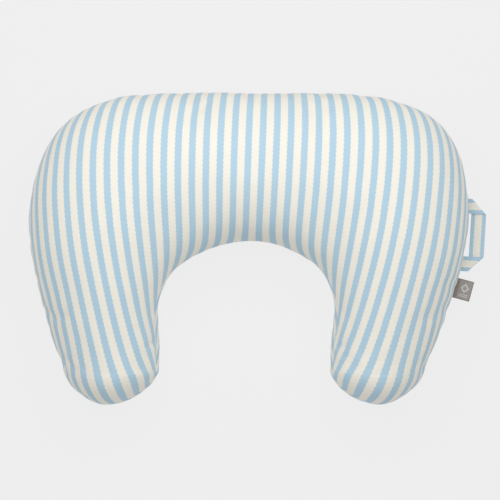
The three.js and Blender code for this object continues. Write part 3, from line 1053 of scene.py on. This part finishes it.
def label_weave():
    look = Look("label_weave", (0.36, 0.33, 0.30), 0.75, sheen=0.15)
    vector, across, out = look.map("weave")
    centre = 11.2 * MM
    border_out = abs(out - centre) - 8.0 * MM
    border_across = abs(across) - 11.6 * MM
    frame_line = look.math("MAXIMUM", border_out, border_across)
    rim = look.step(frame_line, -0.2 * MM, 0.4 * MM)
    diamond = abs(abs(across - 2.2 * MM) * 0.9 + abs(out - centre) - 4.4 * MM) - 1.3 * MM
    bar = abs(abs(across + 7.4 * MM) - 1.1 * MM) - 0.5 * MM
    bars = look.math("MAXIMUM", bar, abs(out - centre) - 5.8 * MM)
    motif = 1 - look.step(look.math("MINIMUM", diamond, bars), -0.25 * MM, 0.25 * MM)
    weft = ((out / (0.42 * MM)) * TURN).sine() * 0.5 + 0.5
    warp = ((across / (0.5 * MM)) * TURN).sine() * 0.5 + 0.5
    yarn = look.grain(vector, 1200, 3)
    ground = look.mix(yarn, (0.33, 0.295, 0.275, 1), (0.42, 0.38, 0.355, 1))
    pale = look.mix(yarn, (0.58, 0.555, 0.525, 1), (0.68, 0.655, 0.62, 1))
    dark = look.mix(yarn, (0.245, 0.215, 0.20, 1), (0.32, 0.285, 0.265, 1))
    look.set("Base Color", look.mix(rim, look.mix(motif, ground, pale), dark))
    look.set("Roughness", 0.7 + yarn * 0.2)
    look.bump(weft * 0.5 + warp * 0.3 + motif * 0.5, 0.12 * MM, 0.8)
    return look.material


label_cloth = label_weave()
print("label:", round(LABEL_WIDTH / MM), "mm wide,", round(LABEL_REACH / MM, 1), "mm long")

# %% [markdown]
# ## Folding and sewing in the label
# The middle of a flat grid goes round the fold and its halves lie back to
# back, with a slight curl. Stitches hold it inside the seam.

# %% Label
STITCHES = 12


def make_label():
    half_turn = math.pi / 2 * LABEL_FOLD
    half_length = LABEL_REACH - LABEL_ROOT - LABEL_FOLD + half_turn
    strip = bmesh.new()
    bmesh.ops.create_grid(strip, x_segments=120, y_segments=16, size=0.5)
    flat = strip.loops.layers.uv.new("weave")
    for loop in corners(strip):
        down, across = loop.vert.co.x * 2 * half_length, loop.vert.co.y * LABEL_WIDTH
        loop[flat].uv = (across, half_length - abs(down) + LABEL_ROOT)
    for vert in strip.verts:
        down, across = vert.co.x * 2 * half_length, vert.co.y * LABEL_WIDTH
        if abs(down) < half_turn:
            out = LABEL_REACH - LABEL_FOLD + LABEL_FOLD * math.cos(down / LABEL_FOLD)
            height = LABEL_FOLD * math.sin(down / LABEL_FOLD)
        else:
            out = LABEL_REACH - LABEL_FOLD - (abs(down) - half_turn)
            height = math.copysign(LABEL_FOLD, down)
        share = max(out / LABEL_REACH, 0)
        curl = 1.1 * MM * share**2 * math.cos(across / LABEL_WIDTH * 2.2) - 0.6 * MM * share
        vert.co = label_frame @ Vector((out, across, height + curl))
    label = to_object(strip, "side_label_flag", label_cloth)
    thicken(label, 0.4 * MM)
    return label, 2 * half_length


flag, flag_length = make_label()
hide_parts("side_label")
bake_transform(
    flag, "pillow", "label",
    start=label_frame @ Vector((0.4 * MM, 0, 0)),
    end=label_frame @ Vector((2.4 * MM, 0, 0)),
)
label_edge = [
    (label_frame @ Vector((-2.6 * MM, 24 * MM * (step / (STITCHES - 1) - 0.5), 0.85 * MM)),
     label_frame.to_3x3() @ Vector((0, 1, 0)))
    for step in range(STITCHES)
]
label_stitch = beads("side_label_stitches", label_edge, 1.7 * MM, 0.2 * MM, thread)
dress(label_stitch, "side_label_sewn_edge")
print("label, laid flat:", round(flag_length / MM), "x", round(LABEL_WIDTH / MM), "mm")

# %% [markdown]
# ## The zip's tapes
# Each tape is a woven strip under the cover's edge, longer than the chain at
# both ends, and held stretched by its seams.

# %% Tapes
TAPE_DEPTH = -4.98 * MM
TAPE_HALF = 123 * MM
TAPE_WIDTH = 10 * MM
TAPE_GAP = 0.9 * MM


def make_tape(name, node, side):
    strip = bmesh.new()
    bmesh.ops.create_grid(strip, x_segments=120, y_segments=6, size=0.5)
    for vert in strip.verts:
        across = side * (TAPE_GAP + TAPE_WIDTH * (vert.co.y + 0.5))
        wave = 0.15 * MM * noise.noise(Vector((vert.co.x * 30, vert.co.y, side)))
        along_zip = vert.co.x * 2 * TAPE_HALF
        vert.co = zip_frame @ Vector((along_zip, TAPE_DEPTH + wave, across))
    if side < 0:
        bmesh.ops.reverse_faces(strip, faces=strip.faces)
    piece = to_object(strip, name, tape)
    thicken(piece, 0.6 * MM)
    dress(piece, node)


make_tape("zip_tape_top", "zip_tape_upper", 1)
make_tape("zip_tape_under", "zip_tape_lower", -1)
print("tapes:", round(2 * TAPE_HALF / MM), "mm long")

# %% [markdown]
# ## The zip's coils
# On a coil zip the teeth are one bent nylon wire. Here one loop of it is a
# small bevelled block, repeated along both tapes half a pitch apart, so that
# the loops of one side lie between those of the other.

# %% Coils
COIL_HALF = 112 * MM
TOOTH_PITCH = 1.5 * MM
TOOTH = Vector((0.62 * MM, 1.9 * MM, 3.0 * MM))
TOOTH_CENTRE = 1.65 * MM
TOOTH_SLANT = 0.12


def make_coil(name, node, side):
    coil = bmesh.new()
    for step in range(int(2 * COIL_HALF / TOOTH_PITCH)):
        along_zip = -COIL_HALF + TOOTH_PITCH * (step + (0.5 if side > 0 else 0))
        out = TAPE_DEPTH + 0.35 * MM + TOOTH.y / 2
        centre = Vector((along_zip, out, side * TOOTH_CENTRE))
        slant = Matrix.Rotation(side * TOOTH_SLANT, 4, "Y")
        place = zip_frame @ Matrix.Translation(centre) @ slant
        size = Matrix.Diagonal((*TOOTH, 1))
        made = bmesh.ops.create_cube(coil, size=1, matrix=place @ size)["verts"]
        edges = list({edge for vert in made for edge in vert.link_edges})
        bmesh.ops.bevel(
            coil, geom=edges, offset=0.24 * MM, segments=1, profile=0.5,
            affect="EDGES", material=-1,
        )
    dress(to_object(coil, name, nylon), node)


make_coil("zip_coil_top", "zip_coil_upper", 1)
make_coil("zip_coil_under", "zip_coil_lower", -1)
print("coils:", round(2 * COIL_HALF / MM), "mm long")

# %% [markdown]
# ## Metal parts
# The slider, pull and stops have the right form in the frame already, but
# with knife-sharp corners. A copy of each is merged, its flat faces joined
# again, and its edges rounded, so that they catch the light as metal does.

# %% Rounded copies
def rounded_copy(node, name, radius, body):
    form = bmesh.new()
    form.from_mesh(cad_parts[node].data)
    bmesh.ops.remove_doubles(form, verts=form.verts, dist=0.01 * MM)
    bmesh.ops.dissolve_limit(
        form, angle_limit=math.radians(2), use_dissolve_boundaries=False,
        verts=form.verts, edges=form.edges, delimit={"NORMAL"},
    )
    sharp = [edge for edge in form.edges if edge.calc_face_angle(0) > math.radians(35)]
    bmesh.ops.bevel(
        form, geom=sharp, offset=radius, segments=2, profile=0.5,
        affect="EDGES", material=-1, clamp_overlap=True,
    )
    bmesh.ops.recalc_face_normals(form, faces=form.faces)
    dress(to_object(form, name, metal), node, body)


rounded_copy("zip_slider", "zip_slider_body", 0.25 * MM, "zip_slider")
rounded_copy("zip_pull_tab", "zip_pull", 0.22 * MM, "zip_pull")
STOPS = {"bottom_stop": "bottom", "top_stop_upper": "top", "top_stop_lower": "under"}
for end, place in STOPS.items():
    rounded_copy("zip_" + end, "zip_stop_" + place, 0.3 * MM, "pillow")
print("metal parts:", metal.users)

# %% [markdown]
# ## The insert
# Inside the cover is a plain casing full of fibre. Each layer is the same
# closed form, set further in, so none shows through another, and on a coarser
# grid, because it is only seen with the cover off.

# %% Casing and filling
CASING_SIDE = 9 * MM
CASING_CROWN = 4.4 * MM
FILLING_SIDE = 14.6 * MM
FILLING_CROWN = 6.6 * MM
INNER_ROWS = 12
INNER_STEP = 2


def inner_lumps(form, depth):
    """Uneven filling, as moves along the surface's own direction."""
    form.normal_update()
    moves = [vert.normal * depth * noise.noise(vert.co * 28) for vert in form.verts]
    for vert, move in zip(form.verts, moves):
        vert.co += move


def casing_panel(name, node, is_top):
    form = closed_form(CASING_SIDE, CASING_CROWN, INNER_ROWS, INNER_STEP)
    inner_lumps(form, 0.6 * MM)
    keep_panel(form, is_top)
    piece = to_object(form, name, casing)
    thicken(piece, 0.6 * MM, offset=-1)
    dress(piece, node)


casing_panel("insert_casing_upper", "insert_casing_top", True)
casing_panel("insert_casing_under", "insert_casing_bottom", False)

form = closed_form(FILLING_SIDE, FILLING_CROWN, INNER_ROWS, INNER_STEP)
inner_lumps(form, 1.2 * MM)
fibre = to_object(form, "fibre_fill", fluff)
dress(fibre, "fibre_filling")
print("filling:", len(fibre.data.polygons), "faces")

# %% [markdown]
# ## Overlocked edges and the hand-sewn closing
# A thread zigzags over the raw edges inside both seams. The cover's stops at
# the zip. The casing is filled through a gap, then closed by hand with
# larger, slanted stitches.

# %% Overlocked edges
OVERLOCK_WIDTH = 3.2 * MM
ZIP_CLEAR = 131 * MM
CLOSING_STITCHES = 23


def overlock(name, node, side, open_at_zip):
    """A zigzag of thread over the raw edges, all along the seam inside."""
    path = []
    for index, station in enumerate(ring):
        if open_at_zip and station.inward == 0 and abs(station.edge.x) < ZIP_CLEAR:
            continue
        level = station.angle(station.seam)
        outer = station.point(level, side, 0)
        inner = station.point(level, side + OVERLOCK_WIDTH, 0)
        rise = Vector((0, 0, 0.5 * MM if index % 2 else -0.5 * MM))
        path.append(((outer + inner) / 2 + rise, inner - outer))
        ahead = ring[(index + 1) % len(ring)]
        far = ahead.point(ahead.angle(ahead.seam), side, 0)
        if (far - outer).length < 12 * MM:
            path.append(((outer + far) / 2, far - outer))
    dress(beads(name, path, 3.4 * MM, 0.35 * MM, thread), node)


overlock("cover_overlock", "cover_overlock_thread", 4.6 * MM, True)
overlock("insert_overlock", "insert_overlock_thread", 11 * MM, False)

low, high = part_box("insert_closing_stitch")
middle = (low + high) / 2
closing_path = []
for step in range(CLOSING_STITCHES):
    across = low.x + (high.x - low.x) * (step + 0.5) / CLOSING_STITCHES
    closing_path.append((Vector((across, middle.y, middle.z)), (0.8, 0, 0.6)))
closing = beads("insert_closing", closing_path, 3.6 * MM, 0.35 * MM, thread)
dress(closing, "insert_closing_stitch")
print("closing:", len(closing_path), "stitches over", round(high.x - low.x, 3), "m")

# %% [markdown]
# ## Law label
# Every filled casing carries a small printed label that says what is inside.
# It hangs from the casing's seam, a plain strip with a slight curl.

# %% Law label
low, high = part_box("insert_law_label")
form = bmesh.new()
bmesh.ops.create_grid(form, x_segments=16, y_segments=10, size=0.5)
for vert in form.verts:
    curl = 0.5 * MM * math.sin(vert.co.x * 5) * (0.5 - vert.co.y)
    vert.co = Vector((
        (low.x + high.x) / 2 + vert.co.x * (high.x - low.x), (low.y + high.y) / 2 + curl,
        (low.z + high.z) / 2 + vert.co.y * (high.z - low.z),
    ))
law_label = to_object(form, "insert_law_tag", tape)
thicken(law_label, 0.3 * MM)
dress(law_label, "insert_law_label")
print("law label:", round((high.x - low.x) / MM), "x", round((high.z - low.z) / MM), "mm")

# %% [markdown]
# ## Floor
# The pillow lies on pale paper. Most of the paper's tone is a faint glow of
# its own, so that it stays even and takes only a soft shadow.

# %% Floor and finish
form = bmesh.new()
bmesh.ops.create_grid(form, x_segments=1, y_segments=1, size=3)
floor_paper = Look("floor_paper", (0.07, 0.07, 0.07), 0.95)
floor_paper.set("Emission Color", (1, 1, 1, 1))
floor_paper.set("Emission Strength", 0.79)
floor = to_object(form, "floor", floor_paper.material)
floor.location.z = -0.2 * MM
